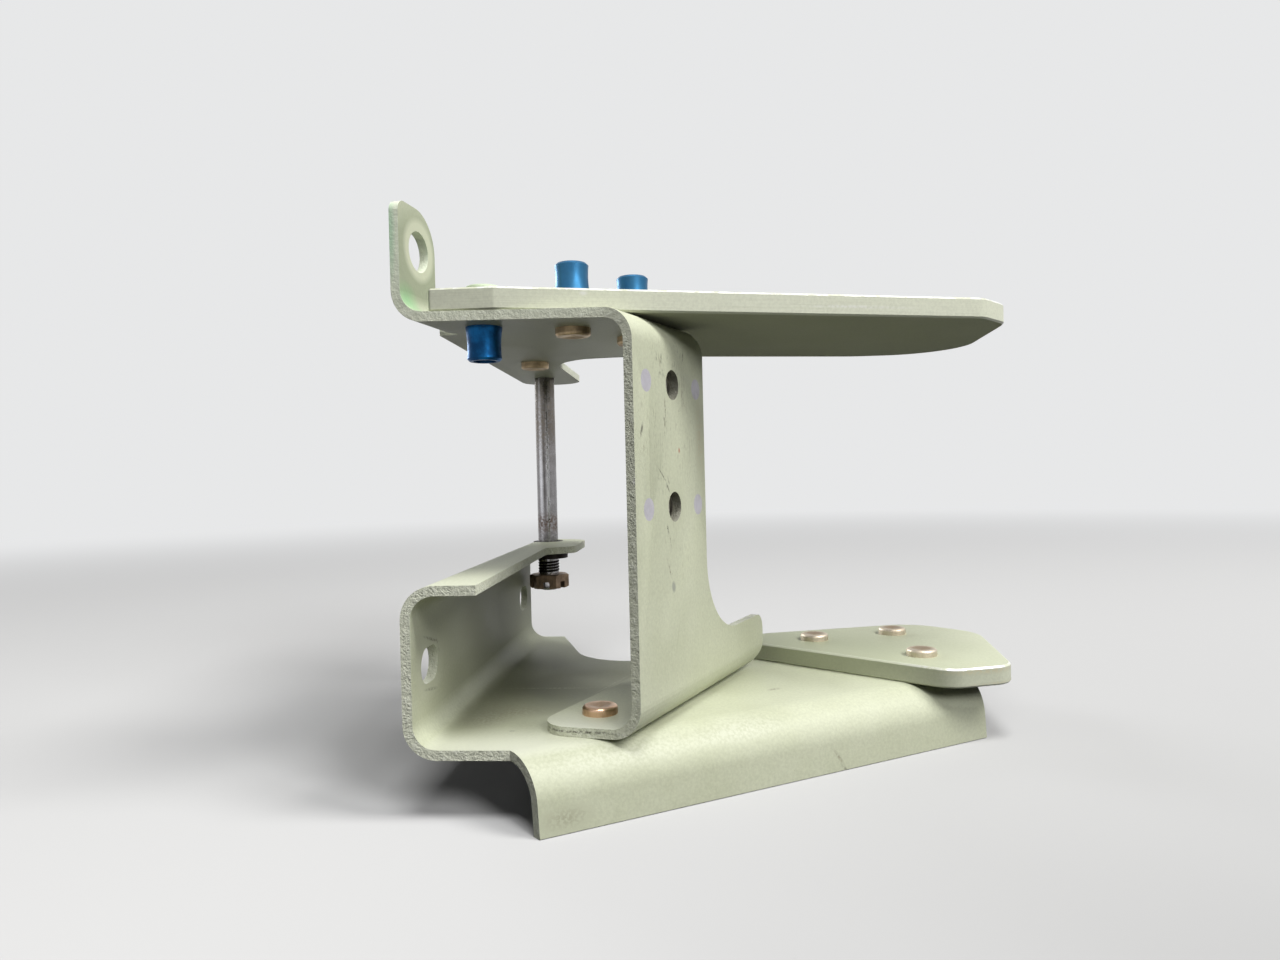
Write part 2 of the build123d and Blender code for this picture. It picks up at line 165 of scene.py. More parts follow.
def spot(tree, place, centre, size, turn, soft):
    mapping = wire(tree, "ShaderNodeMapping", {"Vector": place}, vector_type="TEXTURE")
    mapping.inputs["Location"].default_value = centre
    mapping.inputs["Rotation"].default_value = turn
    mapping.inputs["Scale"].default_value = size
    reach = wire(tree, "ShaderNodeVectorMath", {0: mapping.outputs["Vector"]}, operation="LENGTH")
    return ramp(tree, reach.outputs["Value"], 1.0 + soft, 1.0 - soft)


def marked(tree, place, colour, marks):
    rubbed = ramp(tree, noise(tree, place, 1500.0, 3.0), 0.40, 0.56)
    leaning = stretched(tree, place, (radians(8), 0.0, 0.0), (1.0, 1.0, 0.22))
    scored = ramp(tree, noise(tree, leaning, 2200.0, 2.0), 0.60, 0.68)
    breaks = {"rubbed": rubbed, "scored": scored}
    for centre, size, turn, soft, tint, strength, kind in marks:
        patch = combine(tree, "MULTIPLY", spot(tree, place, centre, size, turn, soft), strength)
        if kind in breaks:
            patch = combine(tree, "MULTIPLY", patch, breaks[kind])
        colour = blend(tree, patch, colour, tint)
    return colour


# %% [markdown]
# Marks are listed in millimetres and degrees, measured from the frame's origin. Most lie on flat faces,
# so two helpers place them there: one knows where the upright's web starts and how it is turned, the
# other lays a mark on a level face. Such a mark reaches only a little way in, so it never shows on the
# far side of a sheet.

# %% List marks in millimetres
sheet = 2.03
thick_plate = 4.76
base_level = -14.57
foot_level = -12.54
under_top_flange = 70.7
web_turn = -22.7
web_start = (47.0, -55.0)
mark_depth = 0.6
unturned = (0, 0, 0)


def mark(place, size, turn, tint, strength, soft=0.5, kind="rubbed"):
    """A patch round a place: its half lengths, its turn, its colour and strength, and how soft its rim is."""
    centre = [value / 1000 for value in place]
    reach = [value / 1000 for value in size]
    return (centre, reach, [radians(angle) for angle in turn], soft, tint, strength, kind)


def on_web(back, up, size, tilt, tint, strength, soft=0.4, kind="rubbed"):
    """A mark on the right face of the upright's web, so far back along it and up from the origin."""
    turn = radians(web_turn)
    place = (web_start[0] - back * sin(turn), web_start[1] + back * cos(turn), up)
    return mark(place, (mark_depth, *size), (tilt, 0, web_turn), tint, strength, soft, kind)


def on_base(right, back, size, turn, tint, strength, soft=0.6, kind="rubbed", level=base_level):
    """A mark on a level face, by default the channel's base."""
    return mark((right, back, level), (*size, mark_depth), (0, 0, turn), tint, strength, soft, kind)


# %% [markdown]
# The paint is a pale sage-green primer sprayed thin over aluminium. Close to, it has a fine orange peel,
# faint clouds where the coat is thicker, sparse dark specks and hairline rubs. Noises of different sizes
# make these, and a stretched noise makes the rubs. It is half glossy, so the crest of the fold catches
# the light in a soft band.

# %% The primer
sage = (0.500, 0.522, 0.385, 1.0)
sage_light = (0.565, 0.585, 0.455, 1.0)
sage_deep = (0.430, 0.452, 0.315, 1.0)
sage_highlight = (0.62, 0.635, 0.52, 1.0)
soil = (0.19, 0.165, 0.115, 1.0)


def primer(name, marks=(), roughness=(0.42, 0.54), gloss=0.36, highlight_share=0.0):
    """The paint with its marks. It is smoother where a cloud is deep and rougher where it is pale."""
    material, tree, shader = new_material(name)
    place = object_place(tree)
    cloud = noise(tree, place, 45.0)
    colour = blend(tree, ramp(tree, cloud, 0.35, 0.65), sage_deep, sage_light)
    colour = blend(tree, 0.6, colour, sage)
    # A share of painted highlight, which makes the plates' edges paler.
    if highlight_share:
        colour = blend(tree, highlight_share, colour, sage_highlight)
    grain = ramp(tree, noise(tree, place, 1500.0, 3.0, 0.7), 0.35, 0.65, 0.93, 1.05)
    grey = wire(tree, "ShaderNodeCombineColor", {0: grain, 1: grain, 2: grain}).outputs[0]
    colour = blend(tree, 1.0, colour, grey, "MULTIPLY")
    fleck = ramp(tree, noise(tree, place, 1300.0, 2.0), 0.72, 0.77, 0.0, 0.55)
    sparse = ramp(tree, noise(tree, place, 90.0, 2.0), 0.54, 0.64)
    colour = blend(tree, combine(tree, "MULTIPLY", fleck, sparse), colour, soil)
    hairline = stretched(tree, place, (0.3, 0.9, 0.5), (1.0, 14.0, 14.0))
    rub = ramp(tree, noise(tree, hairline, 60.0, 3.0), 0.66, 0.74)
    colour = blend(tree, combine(tree, "MULTIPLY", rub, 0.3), colour, sage_light)
    tree.links.new(marked(tree, place, colour, marks), shader.inputs["Base Color"])
    tree.links.new(ramp(tree, cloud, 0.3, 0.7, *roughness), shader.inputs["Roughness"])
    shader.inputs["Specular IOR Level"].default_value = gloss
    bumps = noise(tree, place, 800.0, 3.0)
    peel = wire(tree, "ShaderNodeBump", {"Height": bumps, "Strength": 0.10, "Distance": 0.0004})
    tree.links.new(peel.outputs["Normal"], shader.inputs["Normal"])
    return material


# %% [markdown]
# The marks of use are small and many. Bolt heads have rubbed rings round the front web hole, and the fold
# is scuffed where it rests; along its crest a soft pale band is a painted highlight. The inside of the
# channel and the underside of the upright's top flange are darkened with painted shade. The upright's web
# is scored and scratched round its holes, and its ear is painted darker as painted shade, but for a worn
# ring round the hole, with green left in the bend. The front of the base and the top of the foot are
# painted paler as painted light.

# %% The marks of use
# A dark olive painted where shade falls: inside the channel and on the undersides. It is painted shade.
painted_shade = (0.17, 0.175, 0.11, 1.0)
near_black = (0.07, 0.065, 0.05, 1.0)
# Serves for real chips and scratches, and for a painted highlight on the fold's crest.
bare_metal_and_sheen = (0.66, 0.66, 0.62, 1.0)
painted_light = (0.66, 0.675, 0.575, 1.0)
red_speck = (0.32, 0.07, 0.03, 1.0)
grey_chip = (0.27, 0.28, 0.24, 1.0)
tan_cloud = (0.36, 0.26, 0.12, 1.0)
ear_painted_shade = (0.27, 0.30, 0.205, 1.0)
ear_ring = (0.56, 0.58, 0.44, 1.0)
bend_green = (0.16, 0.42, 0.17, 1.0)
channel_marks = [
    mark((sheet, -47.0, 0.0), (0.6, 8.5, 6.8), unturned, sage_light, 0.6, 0.15, "even"),
    mark((sheet, -46.2, 5.0), (0.6, 4.2, 0.30), (-16, 0, 0), near_black, 0.75),
    mark((sheet, -47.0, -5.4), (0.6, 3.6, 0.30), (-10, 0, 0), near_black, 0.75),
    mark((sheet, -41.8, 3.0), (0.6, 1.8, 0.22), (-58, 0, 0), near_black, 0.6),
    mark((sheet, -30.0, -3.0), (0.6, 20.0, 1.2), (6, 0, 0), sage_light, 0.5, 0.9),
    # Painted shade: the channel's inside and its floor behind the front, where the lip and the upright shade
    # them.
    mark((3.5, -4.0, 3.0), (6.0, 44.0, 15.0), unturned, painted_shade, 0.72, 0.6, "even"),
    on_base(19.0, -6.0, (15.0, 34.0), -14, painted_shade, 0.70, 0.7, "even"),
    on_base(41.0, -36.0, (9.0, 12.0), -20, painted_shade, 0.45, 0.6, "even"),
    on_base(16.9, -31.9, (7.0, 4.0), 20, soil, 0.45, 0.9),
    on_base(11.5, -39.8, (4.0, 3.0), 0, soil, 0.35, 0.9),
    on_base(9.0, -22.0, (6.0, 16.0), 0, soil, 0.30, 0.9),
    on_base(19.0, -46.4, (0.5, 0.4), 0, near_black, 0.9, 0.5),
    on_base(36.9, -4.0, (0.25, 9.0), -20, sage_light, 0.8, 0.6),
    on_base(23.0, -10.2, (10.0, 0.35), 0, sage_light, 0.7, 0.7),
    # Painted light: the front of the channel's base is painted paler.
    on_base(20.0, -57.5, (20.0, 8.0), 0, painted_light, 0.60, 0.8, "even"),
    on_base(27.1, -53.0, (9.0, 4.0), 10, sage_light, 0.35, 0.9),
    on_base(76.5, -12.5, (1.4, 0.7), 35, soil, 0.8, 0.7),
    mark((89.6, -28.5, -26.2), (0.3, 0.6, 2.6), (0, -34, 0), soil, 0.6, 0.6),
    mark((90.7, -27.9, -28.6), (0.3, 0.6, 1.5), (0, -40, 0), near_black, 0.5, 0.6),
    mark((33.0, -63.2, -26.2), (4.5, 3.0, 1.6), unturned, soil, 0.42, 0.8),
    # Painted highlight: soft pale bands along the crest of the fold.
    mark((69.0, -41.1, -16.3), (8.0, 5.0, 1.6), (0, 0, 31), bare_metal_and_sheen, 0.35, 0.9),
    mark((45.0, -56.0, -16.5), (15.0, 6.0, 1.8), (0, 0, 31), bare_metal_and_sheen, 0.25, 0.9),
]
upright_marks = [
    on_web(13.0, 62.0, (3.4, 4.2), 14, near_black, 0.75, 0.5, "scored"),
    on_web(21.5, 63.0, (3.2, 5.0), -14, near_black, 0.65, 0.5, "scored"),
    on_web(23.5, 56.0, (2.6, 4.6), 0, soil, 0.8, 0.5, "scored"),
    on_web(14.6, 50.0, (1.5, 4.6), 0, near_black, 0.7, 0.5, "scored"),
    on_web(6.5, 49.0, (4.5, 7.0), -20, soil, 0.55, 0.6, "scored"),
    on_web(22.0, 45.0, (8.0, 9.0), 0, soil, 0.4, 0.7, "scored"),
    on_web(13.0, 37.5, (3.4, 2.4), -38, near_black, 0.6, 0.5, "scored"),
    on_web(20.0, 22.0, (9.0, 8.0), 0, soil, 0.3, 0.7, "scored"),
    on_web(12.4, 62.6, (0.22, 1.6), 16, soil, 0.6),
    on_web(14.2, 60.2, (0.20, 1.0), 30, near_black, 0.5),
    on_web(24.5, 64.7, (0.25, 1.0), -12, near_black, 0.8),
    on_web(23.8, 56.5, (0.6, 3.2), 0, soil, 0.5, 0.8),
    on_web(14.7, 53.0, (0.3, 1.9), 4, soil, 0.8),
    on_web(14.4, 49.6, (0.3, 0.8), 0, soil, 0.7),
    on_web(3.4, 47.9, (0.4, 1.4), -22, near_black, 0.8),
    on_web(7.2, 45.0, (0.3, 2.6), -8, sage_deep, 0.8),
    on_web(21.4, 43.9, (0.30, 0.55), 0, red_speck, 0.9, 0.4, "even"),
    on_web(12.6, 38.6, (2.3, 0.20), -38, near_black, 0.7),
    on_web(15.2, 35.9, (1.2, 0.24), -52, near_black, 0.85),
    on_web(14.7, 27.0, (0.35, 1.0), 14, near_black, 0.85),
    on_web(15.8, 24.6, (0.22, 1.6), 14, soil, 0.7),
    on_web(15.2, 18.2, (0.24, 1.5), 24, soil, 0.75),
    on_web(17.0, 14.4, (0.85, 1.15), 18, grey_chip, 0.85, 0.3, "even"),
    on_web(18.5, 3.0, (0.25, 3.6), -20, sage_deep, 0.8),
    on_web(33.0, 47.0, (1.6, 6.0), 0, tan_cloud, 0.35, 0.9),
    on_web(18.6, 58.0, (4.6, 4.6), 0, sage_deep, 0.35, 0.3),
    on_web(18.6, 31.6, (4.6, 4.6), 0, sage_deep, 0.35, 0.3),
    # Painted shade under the upright's top flange.
    on_base(15.0, -18.0, (24.0, 42.0), 0, painted_shade, 0.50, 0.3, "even", under_top_flange),
    # Painted light: the top of the foot is painted paler.
    on_base(34.0, -51.0, (10.0, 7.0), web_turn, painted_light, 0.65, 0.8, "even", foot_level),
    # Painted shade: the ear's face is painted darker, except for the ring round the hole.
    mark((1.0, -45.5, 85.0), (3.0, 14.0, 11.0), (0, 0, -9), ear_painted_shade, 0.85, 0.3, "even"),
    mark((1.4, -45.5, 87.4), (3.0, 6.4, 6.4), (0, 0, -9), ear_ring, 0.8, 0.12, "even"),
    mark((-0.3, -52.0, 74.8), (3.0, 3.4, 3.0), (0, 0, -9), bend_green, 0.75, 0.8, "even"),
]
print("marks on the channel", len(channel_marks), "and on the upright", len(upright_marks))

# %% [markdown]
# A sheet that was sheared and filed shows it at the cut. The channel's cut is pitted primer. The
# upright's is greyer, and turns smooth and pale at the top flange and the ear, where it was dressed
# before painting. A noise makes both the pits' colour and their depth, so that they agree. The walls of
# the channel's slotted holes kept their paint, and those of the upright's round holes are dark.

# %% The cut edges
bore_dark = (0.12, 0.11, 0.085, 1.0)
edge_green = (0.36, 0.62, 0.40, 1.0)
cut_marks = [
    mark((53.24, -37.45, 58.03), (4.2, 4.2, 3.8), unturned, bore_dark, 0.75, 0.1, "even"),
    mark((53.24, -37.45, 31.63), (4.2, 4.2, 3.8), unturned, bore_dark, 0.75, 0.1, "even"),
    mark((33.6, -51.4, -13.45), (8.5, 4.0, 0.22), (3, 0, web_turn), near_black, 0.85, 0.6),
    mark((47.2, -54.6, 37.4), (0.7, 0.7, 0.6), unturned, bare_metal_and_sheen, 0.9, 0.4, "even"),
    mark((-1.8, -54.0, 89.0), (0.8, 1.5, 7.0), unturned, edge_green, 0.6, 0.6, "even"),
]
coat_pale = (0.70, 0.72, 0.58, 1.0)
coat_grey = (0.57, 0.58, 0.47, 1.0)
lump_highlight = (0.82, 0.835, 0.72, 1.0)
coat_smooth = (0.74, 0.79, 0.63, 1.0)
pit_dark = (0.17, 0.175, 0.125, 1.0)
slot_offset = 0.0476
slot_reach = (0.0030, 0.0062, 0.0046)


def filed_edge(name, grey, pitted):
    """A cut under a thin coat, with shares of grey and of dark pits that fade towards the ear."""
    material, tree, shader = new_material(name)
    place = object_place(tree)
    up = height(tree, place)
    rough = ramp(tree, up, 0.060, 0.074, pitted, pitted * 0.3)
    below_ear = ramp(tree, up, 0.070, 0.080, 1.0, 0.0)
    grain = noise(tree, place, 2300.0, 3.0, 0.6)
    lumps = noise(tree, place, 850.0, 2.0, 0.5)
    greying = ramp(tree, noise(tree, place, 420.0), 0.40, 0.62, grey, grey * 0.4)
    film = blend(tree, greying, coat_pale, coat_grey)
    # Painted highlight: the lumps that the bump raises are painted lighter.
    film = blend(tree, combine(tree, "MULTIPLY", ramp(tree, lumps, 0.54, 0.64), 0.5), film, lump_highlight)
    pit = combine(tree, "MULTIPLY", ramp(tree, grain, 0.46, 0.36), rough)
    cut = blend(tree, pit, film, pit_dark)
    cut = blend(tree, below_ear, coat_smooth, cut)
    for side in (-1, 1):
        hole = spot(tree, place, (0.001, side * slot_offset, 0.0), slot_reach, unturned, 0.1)
        cut = blend(tree, hole, cut, sage_light)
    tree.links.new(marked(tree, place, cut, cut_marks), shader.inputs["Base Color"])
    shader.inputs["Roughness"].default_value = 0.55
    bumps = combine(tree, "ADD", grain, lumps)
    depth = combine(tree, "MULTIPLY", bumps, ramp(tree, up, 0.060, 0.074, 1.0, 0.4))
    bite = wire(tree, "ShaderNodeBump", {"Height": depth, "Strength": 0.6, "Distance": 0.0005})
    tree.links.new(bite.outputs["Normal"], shader.inputs["Normal"])
    return material


# %% [markdown]
# Sharp corners are the first to lose their paint: they are rubbed to a thin pale line, which is partly a
# painted highlight, chipped to bare metal here and there, and most of all on the upper edges of the plates.
# The line needs no mask, because the faces that round a corner get this material of their own.

# %% The worn rims
rim_chip = (0.80, 0.81, 0.76, 1.0)
corner_reach = (0.017, 0.017, 0.017)


def worn_and_highlit_rim(name, bare, level=-1.0, corner=None):
    """A rubbed corner painted pale, partly as a painted highlight, with chips above a level, or only round
    one place if a corner is given.
    """
    material, tree, shader = new_material(name)
    place = object_place(tree)
    chip = ramp(tree, noise(tree, place, 420.0, 4.0), 0.62 - bare, 0.72 - bare)
    if corner:
        chip = combine(tree, "MULTIPLY", chip, spot(tree, place, corner, corner_reach, unturned, 0.3))
    above = ramp(tree, height(tree, place), level - 0.0002, level + 0.0002)
    chip = combine(tree, "MULTIPLY", chip, above)
    # The pale line under the chips is partly a painted highlight.
    tree.links.new(blend(tree, chip, sage_light, rim_chip), shader.inputs["Base Color"])
    tree.links.new(combine(tree, "MULTIPLY", chip, 0.5), shader.inputs["Metallic"])
    shader.inputs["Roughness"].default_value = 0.36
    return material


# %% [markdown]
# The thick plates were sawn and then filed along their edges, so an edge has fine lines that run round the
# plate, and it is painted a little paler as a painted highlight. The lines are too thin to model: a noise
# squeezed in height makes them as bump. The undersides were never rubbed, so they are duller than the
# rest, and they are darkened with painted shade.

# %% The plates' edges and undersides
def plate_primer(name, level, marks=(), lines=0.0):
    """The primer with a dull underside at a level, darkened as painted shade, or with filed lines of a given
    strength and a painted highlight on an edge.
    """
    material = primer(name, marks, roughness=(0.45, 0.55), gloss=0.36, highlight_share=0.7 if lines else 0.0)
    tree = material.node_tree
    shader = tree.nodes["Principled BSDF"]
    place = object_place(tree)
    under = ramp(tree, height(tree, place), level + 0.00005, level + 0.00045, 1.0, 0.0)
    matt = combine(tree, "MULTIPLY", under, 0.85)
    dull = combine(tree, "MAXIMUM", shader.inputs["Roughness"].links[0].from_socket, matt)
    tree.links.new(dull, shader.inputs["Roughness"])
    painted = shader.inputs["Base Color"].links[0].from_socket
    # Painted shade: the underside is darkened.
    shaded_underside = blend(tree, combine(tree, "MULTIPLY", under, 0.45), painted, painted_shade)
    tree.links.new(shaded_underside, shader.inputs["Base Color"])
    if lines:
        filed = noise(tree, stretched(tree, place, unturned, (60.0, 60.0, 2600.0)), 1.0, 3.0)
        groove = wire(tree, "ShaderNodeBump", {"Height": filed, "Strength": lines, "Distance": 0.0003})
        tree.links.new(groove.outputs["Normal"], shader.inputs["Normal"])
    return material


end_plate_painted_shade = (0.30, 0.33, 0.20, 1.0)
yellow_chip = (0.62, 0.50, 0.27, 1.0)
tan_rub = (0.52, 0.44, 0.27, 1.0)
plate_marks = [
    # Painted shade: the end plate's left part under the top plate, and its edge there, are darkened.
    mark((86.0, 2.0, -10.0), (40.0, 40.0, 8.0), unturned, end_plate_painted_shade, 0.55, 0.5, "even"),
    mark((95.5, -30.9, 74.75), (10.0, 4.0, 0.28), (0.8, 0, 17), bare_metal_and_sheen, 0.7, 0.7),
    mark((36.7, -48.9, 76.4), (0.7, 1.0, 0.4), unturned, bare_metal_and_sheen, 0.8, 0.5, "even"),
    mark((115.0, -16.0, -10.2), (1.2, 1.2, 0.5), unturned, yellow_chip, 0.85, 0.5, "even"),
    mark((127.0, -11.0, -10.7), (8.0, 6.0, 0.6), (0, 0, 17), tan_rub, 0.55, 0.7),
    mark((130.0, -10.0, -14.2), (6.0, 6.0, 0.5), (0, 0, 17), tan_rub, 0.5, 0.7),
]
print("marks on the cut edges", len(cut_marks), "and on the plates", len(plate_marks))

# %% [markdown]
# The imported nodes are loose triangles. A merged copy can be rounded and shaded smoothly, and the copy can
# tell a cut from a face of the sheet by itself: behind a face of the sheet the other face is one
# thickness away. A face of the sheet gets the first material and a cut the second. The last goes to a
# plate's slanted faces, and to the faces that the Bevel modifier makes when it rounds the corners.

# %% Copy a node, sort its faces and round its corners
def dressed(name, body, materials, thickness, rim):
    """Show a merged copy in place of a node, with its own materials and with its corners rounded."""
    source = nodes[name]
    mesh = bmesh.new()
    mesh.from_mesh(source.data)
    bmesh.ops.remove_doubles(mesh, verts=mesh.verts[:], dist=2e-6)
    mesh.normal_update()
    tree = BVHTree.FromBMesh(mesh)
    has_slants = len(materials) == 4
    cuts = 0
    for face in mesh.faces:
        inward = -face.normal
        centre = face.calc_center_median() + inward * 1e-5
        depth = tree.ray_cast(centre, inward)[3]
        is_skin = depth is not None and abs(depth - thickness) < 0.1 * thickness
        face.material_index = 0 if is_skin else 1
        if has_slants and 0.3 < abs(face.normal.z) < 0.95:
            face.material_index = 2
        cuts += not is_skin
    bmesh.ops.dissolve_limit(
        mesh, angle_limit=radians(0.4), verts=mesh.verts[:], edges=mesh.edges[:], delimit={"MATERIAL"}
    )
    data = bpy.data.meshes.new(name + "_dressed")
    mesh.to_mesh(data)
    mesh.free()
    data.polygons.foreach_set("use_smooth", [True] * len(data.polygons))
    data.set_sharp_from_angle(angle=radians(28))
    piece = bpy.data.objects.new(name + "_dressed", data)
    bpy.context.scene.collection.objects.link(piece)
    for material in materials:
        data.materials.append(material)
    bevel = piece.modifiers.new("rim", "BEVEL")
    bevel.width = rim
    bevel.segments = 2
    bevel.limit_method = "ANGLE"
    bevel.angle_limit = radians(40)
    bevel.harden_normals = True
    bevel.material = len(materials) - 1
    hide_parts(name)
    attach(piece, body)
    print(name, "faces", len(data.polygons), "cut triangles", cuts)


sheet_rim = 0.00018
plate_rim = 0.00012
upper_edge = 0.0015
worn_corner = (0.128, -0.0135, -0.0100)
channel_skin = [
    primer("primer_on_channel", channel_marks, gloss=0.30),
    filed_edge("channel_cut", 0.30, 0.28),
    worn_and_highlit_rim("channel_rim", 0.02),
]
upright_skin = [
    primer("primer_on_upright", upright_marks),
    filed_edge("upright_cut", 0.75, 0.36),
    worn_and_highlit_rim("upright_rim", 0.04),
]
dressed("base_channel", "bracket", channel_skin, sheet / 1000, sheet_rim)
dressed("upright_bracket", "bracket", upright_skin, sheet / 1000, sheet_rim)
for plate, bare, corner in (("top_plate", 0.22, None), ("end_plate", 0.24, worn_corner)):
    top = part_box(plate)[1][2]
    face = plate_primer("primer_on_" + plate, top - thick_plate / 1000, plate_marks)
    edge = plate_primer(plate + "_edge", -1.0, plate_marks, 0.10)
    rim = worn_and_highlit_rim(plate + "_rim", bare, top - upper_edge, corner)
    dressed(plate, "bracket", [face, edge, rim, rim], thick_plate / 1000, plate_rim)

# %% [markdown]
# The pins are dished and dyed, the collars are blue anodised aluminium, and the bolt is oiled steel. All
# of them are turned, so their finish has fine streaks, and handling has dulled it in clouds. A noise
# drawn out along the axis makes the streaks without any image, and bands of height tint a part of a
# piece.

# %% Turned metals
def turned_metal(
    name, colour, dull, roughness, metallic=1.0, streak=(220.0, 220.0, 12.0), mottle=0.5, bands=(), marks=()
):
    """A metal whose clean colour is dulled in clouds and streaks, then changed in bands and by marks."""
    material, tree, shader = new_material(name)
    place = object_place(tree)
    streaks = noise(tree, stretched(tree, place, unturned, streak), 8.0, 4.0)
    cloud = ramp(tree, noise(tree, place, 380.0, 4.0), 0.42, 0.62)
    shade = blend(tree, combine(tree, "MULTIPLY", cloud, mottle), colour, dull)
    shade = blend(tree, ramp(tree, streaks, 0.45, 0.7, 0.0, 0.35), shade, dull)
    for low, high, tint, strength in bands:
        shade = blend(tree, ramp(tree, height(tree, place), low, high, 0.0, strength), shade, tint)
    if marks:
        shade = marked(tree, place, shade, marks)
    tree.links.new(shade, shader.inputs["Base Color"])
    shader.inputs["Metallic"].default_value = metallic
    tree.links.new(ramp(tree, cloud, 0.0, 1.0, roughness, roughness + 0.18), shader.inputs["Roughness"])
    fine = wire(tree, "ShaderNodeBump", {"Height": streaks, "Strength": 0.04, "Distance": 0.0002})
    tree.links.new(fine.outputs["Normal"], shader.inputs["Normal"])
    return material


# %% [markdown]
# The dished heads of the foot's and the end plate's pins point up and are browner and darker in the dish.
# The bolt has two painted highlights, bright streaks with a painted dark reflection between them, and a
# stain above the bushing, and it is browner and darker in its upper half. These are marks like those on
# the sheets, sized to a dish, drawn out along the bolt or laid round it.

# %% Dust in the dishes and wear on the bolt
dish_reach = (0.0027, 0.0027, 0.0009)
dish_depth = 0.0001


def in_dish(node, tint, strength):
    """A mark that fills the dish in the head of a pin whose head is on top."""
    low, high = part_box(node)
    centre = ((low[0] + high[0]) / 2, (low[1] + high[1]) / 2, high[2] - dish_depth)
    return (centre, dish_reach, unturned, 0.25, tint, strength, "even")


dish_brown = (0.27, 0.20, 0.13, 1.0)
foot_dishes = [in_dish(f"foot_pin_{i}", dish_brown, 0.6) for i in (1, 2)]
end_dishes = [in_dish(f"end_pin_{i}", dish_brown, 0.8) for i in (1, 2, 3)]
bolt_painted_highlight = (0.80, 0.80, 0.84, 1.0)
painted_dark_reflection = (0.08, 0.075, 0.072, 1.0)
burnt_brown = (0.12, 0.080, 0.058, 1.0)
oil_dark = (0.08, 0.075, 0.070, 1.0)
bolt_upper_brown = (0.17, 0.14, 0.10, 1.0)
bolt_marks = [
    # Painted highlights: two bright streaks down the bolt, with a painted dark reflection between them.
    mark((8.3, 49.4, 42.0), (0.5, 0.7, 20.0), unturned, bolt_painted_highlight, 0.85, 0.6, "even"),
    mark((10.55, 49.3, 40.0), (0.4, 0.7, 18.0), unturned, bolt_painted_highlight, 0.75, 0.6, "even"),
    mark((9.4, 49.1, 40.0), (0.25, 0.6, 17.0), unturned, painted_dark_reflection, 0.7, 0.6, "even"),
    mark((9.6, 52.3, 23.8), (6.0, 6.0, 3.0), unturned, burnt_brown, 0.85, 0.4),
    mark((9.6, 52.3, 18.5), (6.0, 6.0, 2.2), unturned, oil_dark, 0.5, 0.6),
    # The bolt is browner and darker in its upper half.
    mark((9.6, 52.3, 56.0), (6.0, 6.0, 11.0), unturned, bolt_upper_brown, 0.6, 0.6),
]
print("dust in", len(foot_dishes) + len(end_dishes), "dishes, marks on the bolt", len(bolt_marks))

# %% [markdown]
# Now each turned piece gets its finish. The same few finishes serve all of them, so they are listed once,
# with the clean colour, the dulled colour and the roughness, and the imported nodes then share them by
# name.

# %% Put the finishes on
pin_green = (0.50, 0.66, 0.46, 1.0)
pin_tint = mark((14.9, -45.3, 79.0), (5.0, 5.0, 2.5), unturned, pin_green, 0.6, 0.5, "even")
# Painted light: the collars above the top plate are painted a lighter blue than the one below it, in shade.
collar_mottle_and_light = {"mottle": 0.8, "bands": [(0.0768, 0.0780, (0.06, 0.20, 0.34, 1), 0.6)]}
# The lower band is a brown stain. The upper band is painted shade at the bolt's top, under the upright's top
# flange.
bolt_stain_and_shade_bands = [(0.046, 0.054, (0.16, 0.145, 0.13, 1), 0.6), (0.063, 0.068, near_black, 0.8)]
bolt_wear_and_painted_light = {"streak": (620.0, 620.0, 6.0), "mottle": 0.25, "bands": bolt_stain_and_shade_bands, "marks": bolt_marks}
turned = {
    "gold_dyed": ((0.46, 0.35, 0.21, 1), (0.22, 0.165, 0.105, 1), 0.40, {}),
    "copper_dyed": ((0.72, 0.49, 0.33, 1), (0.42, 0.26, 0.16, 1), 0.29, {"marks": foot_dishes}),
    "pale_gold": ((0.64, 0.57, 0.46, 1), (0.44, 0.37, 0.27, 1), 0.46, {"marks": end_dishes}),
    "blue_anodised": ((0.010, 0.095, 0.25, 1), (0.008, 0.045, 0.12, 1), 0.36, collar_mottle_and_light),
    "oiled_steel": ((0.31, 0.30, 0.305, 1), (0.11, 0.105, 0.105, 1), 0.20, bolt_wear_and_painted_light),
    "dark_steel": ((0.032, 0.027, 0.025, 1), (0.018, 0.015, 0.013, 1), 0.55, {}),
    "tan_plated": ((0.26, 0.185, 0.125, 1), (0.085, 0.062, 0.045, 1), 0.48, {}),
    "plated_nut": ((0.30, 0.29, 0.25, 1), (0.12, 0.11, 0.09, 1), 0.40, {}),
    "lavender": ((0.50, 0.485, 0.53, 1), (0.40, 0.385, 0.42, 1), 0.50, {"metallic": 0.25}),
}
finishes = {name: turned_metal(name, *values, **extra) for name, (*values, extra) in turned.items()}
finishes["green_pin"] = primer("primer_on_pin", [pin_tint])
wearing = {"pivot_bolt": "oiled_steel", "bolt_washer": "oiled_steel", "flanged_bushing": "dark_steel"}
wearing.update({"castellated_nut": "tan_plated", "top_pin_1": "green_pin"})
wearing.update({f"top_pin_{i}": "gold_dyed" for i in (2, 3, 4)})
wearing.update({f"foot_pin_{i}": "copper_dyed" for i in (1, 2)})
wearing.update({f"end_pin_{i}": "pale_gold" for i in (1, 2, 3)})
wearing.update({name: "blue_anodised" for name in nodes if "collar" in name})
wearing.update({name: "plated_nut" for name in nodes if name.startswith("anchor_nut")})
wearing.update({name: "lavender" for name in nodes if name.startswith("anchor_rivet")})
for name, finish in wearing.items():
    nodes[name].data.materials.clear()
    nodes[name].data.materials.append(finishes[finish])
print("finishes", len(finishes), "nodes wearing them", len(wearing))

